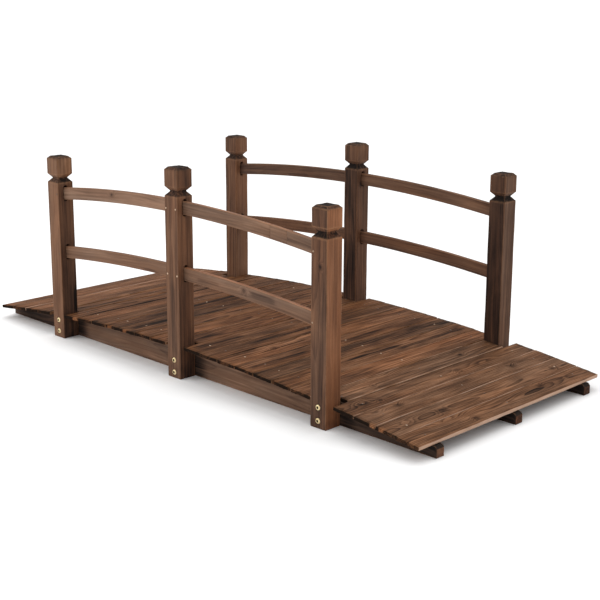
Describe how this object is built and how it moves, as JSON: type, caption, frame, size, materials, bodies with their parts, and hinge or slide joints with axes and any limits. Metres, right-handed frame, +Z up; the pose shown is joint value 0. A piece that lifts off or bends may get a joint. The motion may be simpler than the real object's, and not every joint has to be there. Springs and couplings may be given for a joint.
{
  "type": "moon bridge",
  "caption": "Small wooden garden footbridge with a low arched plank deck on sawn stringers, and a post-and-rail side along each edge.",
  "frame": {"origin": "on the ground, under the middle of the deck", "axes": "+X along the bridge, +Y across it from the near railing to the far one, +Z up"},
  "size_m": [1.524, 0.66, 0.5045],
  "materials": {
    "post_wood": "stained and lightly charred fir, matt",
    "rail_wood": "stained and lightly charred fir, matt",
    "stringer_wood": "stained and lightly charred fir, matt",
    "deck_wood": "stained and lightly charred fir, matt",
    "bolt_brass": "yellow zinc plated steel bolt heads and nuts, satin",
    "nail_steel": "galvanised nail heads, dull"
  },
  "bodies": {
    "root": {"far_left_lower_rail": "rail_wood", "far_left_post": "post_wood", "far_left_top_rail": "rail_wood", "far_middle_post": "post_wood", "far_right_lower_rail": "rail_wood", "far_right_post": "post_wood", "far_right_top_rail": "rail_wood", "far_stringer": "stringer_wood", "left_bay_board_1": "deck_wood", "left_bay_board_2": "deck_wood", "left_bay_board_3": "deck_wood", "left_bay_board_4": "deck_wood", "left_bay_board_5": "deck_wood", "left_bay_board_6": "deck_wood", "left_bay_board_7": "deck_wood", "left_post_board": "deck_wood", "left_ramp_board_1": "deck_wood", "left_ramp_board_2": "deck_wood", "left_ramp_board_3": "deck_wood", "left_ramp_board_4": "deck_wood", "middle_post_board": "deck_wood", "middle_stringer": "stringer_wood", "near_left_lower_rail": "rail_wood", "near_left_post": "post_wood", "near_left_top_rail": "rail_wood", "near_middle_post": "post_wood", "near_right_lower_rail": "rail_wood", "near_right_post": "post_wood", "near_right_top_rail": "rail_wood", "near_stringer": "stringer_wood", "right_bay_board_1": "deck_wood", "right_bay_board_2": "deck_wood", "right_bay_board_3": "deck_wood", "right_bay_board_4": "deck_wood", "right_bay_board_5": "deck_wood", "right_bay_board_6": "deck_wood", "right_bay_board_7": "deck_wood", "right_post_board": "deck_wood", "right_ramp_board_1": "deck_wood", "right_ramp_board_2": "deck_wood", "right_ramp_board_3": "deck_wood", "right_ramp_board_4": "deck_wood"}
  },
  "joints": []
}
